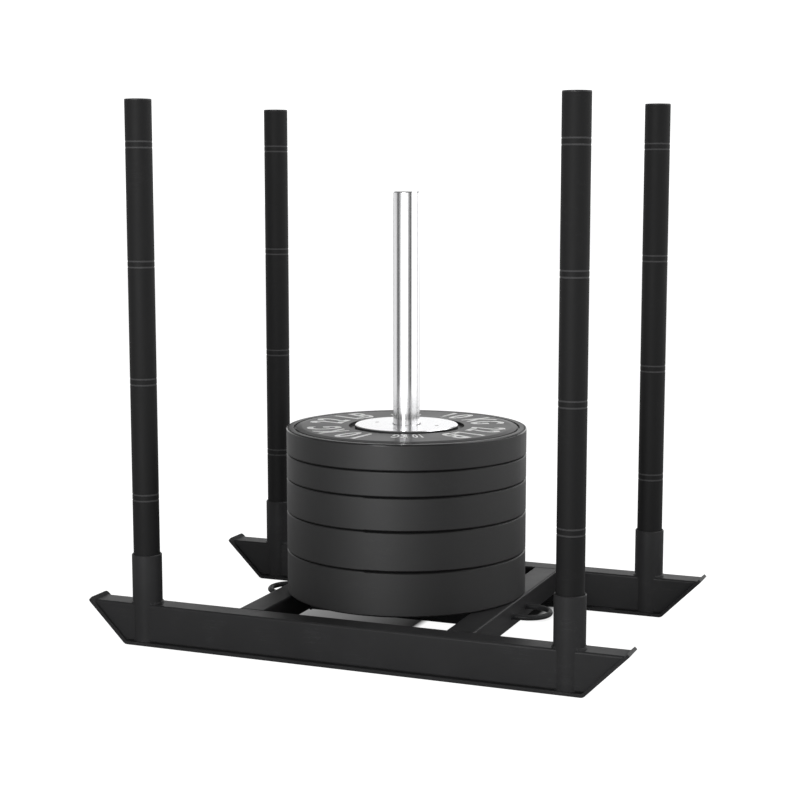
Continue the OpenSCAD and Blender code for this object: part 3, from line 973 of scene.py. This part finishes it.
def add_floor(context):
    studio = context.scene.sled_studio
    tree, surface = new_material("floor_paint", Roughness=0.9, IOR=1.3, Emission_Strength=PEAK_GLOW)
    grain = effect(tree, "Grain", Scale=40.0, Tone_Scale=0.8)
    toned = two_tone(tree, grain, studio.floor_color, 0.99, 1.0)
    place = object_place(tree)
    near = patch_mask(tree, place, NEAR_SHADE, NEAR_SHADE_EDGE)
    far = patch_mask(tree, place, FAR_SHADE, FAR_SHADE_EDGE)
    connect(surface, "Base Color", mix_color(tree, far, toned, shade(studio.floor_color, 0.15)))
    near_glow = ramp(
        tree, component(tree, place, "X"), NEAR_SHADE[0][0], NEAR_SHADE[1][0], studio.shade_glow, 0.0)
    open_glow = ramp(tree, near, 0.0, 1.0, studio.floor_glow, near_glow)
    glow = camera_mix(
        tree, far_floor_glow(tree, place, studio), product(tree, open_glow, inverse(tree, far)))
    connect(surface, "Emission Color", mix_color(
        tree, math_node(tree, "DIVIDE", glow, PEAK_GLOW), (0, 0, 0, 1), (1, 1, 1, 1)))
    mesh = bmesh.new()
    bmesh.ops.create_grid(mesh, x_segments=1, y_segments=1, size=FLOOR_REACH)
    add_to_stage("studio_floor", mesh, "floor_paint")


def add_flag(name, angle, width, tone):
    """A dark card that only shows in reflections, at an angle round the sled from -Y to +X."""
    tree, surface = new_material(name, Roughness=1.0)
    grain = effect(tree, "Grain", Scale=20.0, Tone_Scale=2.0)
    connect(surface, "Base Color", two_tone(tree, grain, (tone, tone, tone), 1.0, 1.1))
    across = component(tree, add_node(tree, "ShaderNodeTexCoord").outputs["Generated"], "X")
    connect(surface, "Alpha", ramp(tree, distance_from(tree, across, 0.5), 0.12, 0.5, 1.0, 0.0))
    turn = math.radians(angle)
    place = Vector((
        math.sin(turn) * FLAG_DISTANCE, -math.cos(turn) * FLAG_DISTANCE, FLAG_BOTTOM + FLAG_HEIGHT / 2))
    upright = Matrix.Rotation(turn, 4, "Z") @ Matrix.Rotation(math.radians(90), 4, "X")
    mesh = bmesh.new()
    bmesh.ops.create_grid(mesh, x_segments=1, y_segments=1, size=0.5)
    bmesh.ops.scale(mesh, verts=mesh.verts, vec=(width, FLAG_HEIGHT, 1.0))
    bmesh.ops.transform(mesh, matrix=Matrix.Translation(place) @ upright, verts=mesh.verts)
    add_to_stage(name, mesh, name, visible_camera=False, visible_diffuse=False, visible_shadow=False)


def add_sky(context):
    """A plain sky, bright low down and darker overhead, and white to the camera."""
    studio = context.scene.sled_studio
    world = bpy.data.worlds.new("studio_sky")
    context.scene.world = world
    world.use_nodes = True
    tree = world.node_tree
    tree.nodes.clear()
    direction = add_node(tree, "ShaderNodeTexCoord").outputs["Generated"]
    facing = vector_math(tree, "DOT_PRODUCT", direction, CAMERA_AHEAD)
    rightward = vector_math(tree, "DOT_PRODUCT", direction, CAMERA_RIGHT)
    lean = ramp(tree, rightward, -0.9, 0.9, 1.0 - studio.sky_lean, 1.0 + studio.sky_lean)
    low_level = product(tree, lean, ramp(tree, facing, -0.3, 0.8, studio.front_sky, studio.back_sky))
    level = ramp(tree, component(tree, direction, "Z"), 0.15, 0.40, low_level, studio.overhead_sky)
    glow = add_node(tree, "ShaderNodeBackground", {
        "Color": (1.0, 1.0, 1.0, 1.0), "Strength": camera_mix(tree, level, SEEN_SKY)})
    add_node(tree, "ShaderNodeOutputWorld", {"Surface": glow.outputs[0]})


def add_area_light(name, place, target, size, power):
    light = bpy.data.lights.new(name, "AREA")
    light.shape = "RECTANGLE"
    light.size, light.size_y = size
    light.energy = power
    lamp = new_object(name, light)
    lamp.location = place
    lamp.rotation_euler = (Vector(target) - Vector(place)).to_track_quat("-Z", "Y").to_euler()
    return lamp


def add_camera(context):
    camera = bpy.data.cameras.new("photo_camera")
    camera.lens = context.scene.sled_studio.lens
    camera.sensor_width = 36.0
    camera.clip_start = 0.05
    camera.clip_end = 200.0
    holder = new_object("photo_camera", camera)
    holder.location = CAMERA_PLACE
    holder.rotation_euler = tuple(math.radians(angle) for angle in CAMERA_TURN)
    context.scene.camera = holder


# Operators


class SLED_OT_studio(bpy.types.Operator):
    """Sets up the floor, the sky, the lights and the camera"""

    bl_idname = "sled.studio"
    bl_label = "Studio"

    def execute(self, context):
        studio = context.scene.sled_studio
        add_camera(context)
        add_floor(context)
        add_sky(context)
        side = add_area_light("side_light", (3.2, -0.9, 0.8), (0.0, 0.0, 0.3), (0.8, 1.6), studio.side_power)
        side.visible_glossy = False
        add_area_light("key_light", (1.6, 1.8, 3.2), (0.0, 0.0, 0.0), (2.2, 2.2), studio.key_power)
        add_area_light("front_light", (-0.18, -3.4, 1.1), (0.0, 0.0, 0.4), (0.8, 2.1), studio.front_power)
        add_flag("flag_right", 51.0, 1.8, 0.30)
        add_flag("flag_left", -50.0, 2.3, 0.24)
        context.scene.view_settings.view_transform = "Standard"
        return {"FINISHED"}


class SLED_OT_frame(bpy.types.Operator):
    """Coats the runners, cross members, beam, tow loops and sockets"""

    bl_idname = "sled.frame"
    bl_label = "Frame"

    def execute(self, context):
        nodes = ["centre_beam"]
        nodes += [f"{side}_runner" for side in SIDES]
        nodes += [f"{side}_{end}_{piece}" for side, end in CORNERS for piece in ("toe", "socket")]
        nodes += [f"{end}_{piece}" for end in ENDS for piece in ("cross_member", "tow_loop")]
        coat_nodes(context, "frame_coat", nodes)
        coat_nodes(context, "skid_coat", [f"{side}_skid" for side in SIDES])
        return {"FINISHED"}


class SLED_OT_poles(bpy.types.Operator):
    """Coats the push poles and their caps"""

    bl_idname = "sled.poles"
    bl_label = "Push Poles"

    def execute(self, context):
        coat_nodes(context, "pole_coat", [f"{side}_{end}_pole" for side, end in CORNERS])
        coat_nodes(context, "cap_plastic", [f"{side}_{end}_cap" for side, end in CORNERS])
        return {"FINISHED"}


class SLED_OT_sleeve(bpy.types.Operator):
    """Plates the loading sleeve and its cap"""

    bl_idname = "sled.sleeve"
    bl_label = "Loading Sleeve"

    def execute(self, context):
        coat_nodes(context, "polished_chrome", ["sleeve", "sleeve_cap"])
        return {"FINISHED"}


class SLED_OT_plates(bpy.types.Operator):
    """Finishes the plates' rubber and hubs"""

    bl_idname = "sled.plates"
    bl_label = "Bumper Plates"

    def execute(self, context):
        coat_nodes(context, "moulded_rubber", [f"plate_{plate}_rubber" for plate in PLATES])
        coat_nodes(context, "hub_chrome", [f"plate_{plate}_hub" for plate in PLATES])
        return {"FINISHED"}


class SLED_OT_screws(bpy.types.Operator):
    """Fits each hub with socket-headed screws"""

    bl_idname = "sled.screws"
    bl_label = "Hub Screws"

    def execute(self, context):
        material = get_material(context, "screw_zinc")
        for plate in PLATES:
            add_piece(f"plate_{plate}_hex_screws", screws_mesh(plate), material, f"plate_{plate}",
                      replaces=[f"plate_{plate}_screws"])
        return {"FINISHED"}


class SLED_OT_figures(bpy.types.Operator):
    """Prints each plate's mass on both of its faces"""

    bl_idname = "sled.figures"
    bl_label = "Printed Figures"

    def execute(self, context):
        material = get_material(context, "figure_ink")
        for plate in PLATES:
            for face, up in (("top", 1), ("bottom", -1)):
                add_piece(f"plate_{plate}_figures_{face}", figures_mesh(context, plate, up), material,
                          f"plate_{plate}")
        return {"FINISHED"}


class SLED_OT_welds(bpy.types.Operator):
    """Lays the weld beads on the frame"""

    bl_idname = "sled.welds"
    bl_label = "Weld Beads"

    def execute(self, context):
        radius = context.scene.sled_detail.weld_radius
        cross = [path for end in ENDS for path in section_weld_paths(f"{end}_cross_member", ACROSS, ALONG)]
        weld_piece(context, "cross_member_welds", cross, 1.5 * radius)
        weld_piece(context, "centre_beam_welds", section_weld_paths("centre_beam", ALONG, ACROSS), radius)
        weld_piece(context, "tow_loop_welds", tow_loop_weld_paths(), 0.8 * radius)
        ring = circle_points(UP * FRAME_TOP, SLEEVE_RADIUS, ALONG, ACROSS)
        weld_piece(context, "sleeve_weld", [ring], 0.7 * radius)
        for side, end in CORNERS:
            weld_piece(context, f"{side}_{end}_socket_welds", socket_weld_paths(side, end), 0.5 * radius)
        for side in SIDES:
            weld_piece(context, f"{side}_skid_welds", skid_weld_paths(side), 0.6 * radius)
        return {"FINISHED"}


STEPS = (
    SLED_OT_studio,
    SLED_OT_frame,
    SLED_OT_poles,
    SLED_OT_sleeve,
    SLED_OT_plates,
    SLED_OT_screws,
    SLED_OT_figures,
    SLED_OT_welds,
)


class SLED_PT_looks(bpy.types.Panel):
    """The sled's steps and settings"""

    bl_idname = "SLED_PT_looks"
    bl_label = "Weight Sled"
    bl_space_type = "VIEW_3D"
    bl_region_type = "UI"
    bl_category = "Sled"

    def draw(self, context):
        for group, kind in SETTINGS.items():
            column = self.layout.column(align=True)
            for name in kind.__annotations__:
                column.prop(getattr(context.scene, group), name)
        column = self.layout.column(align=True)
        for step in STEPS:
            column.operator(step.bl_idname)


SETTINGS = {
    "sled_finish": FinishSettings,
    "sled_detail": DetailSettings,
    "sled_studio": StudioSettings,
}
CLASSES = (*SETTINGS.values(), *STEPS, SLED_PT_looks)


def register():
    for made in CLASSES:
        bpy.utils.register_class(made)
    for name, kind in SETTINGS.items():
        setattr(bpy.types.Scene, name, bpy.props.PointerProperty(type=kind))


def unregister():
    for name in SETTINGS:
        delattr(bpy.types.Scene, name)
    for made in reversed(CLASSES):
        bpy.utils.unregister_class(made)


def main():
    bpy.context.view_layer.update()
    register()
    bpy.ops.sled.studio()
    bpy.ops.sled.frame()
    bpy.ops.sled.poles()
    bpy.ops.sled.sleeve()
    bpy.ops.sled.plates()
    bpy.ops.sled.screws()
    bpy.ops.sled.figures()
    bpy.ops.sled.welds()


if __name__ == "__main__":
    main()
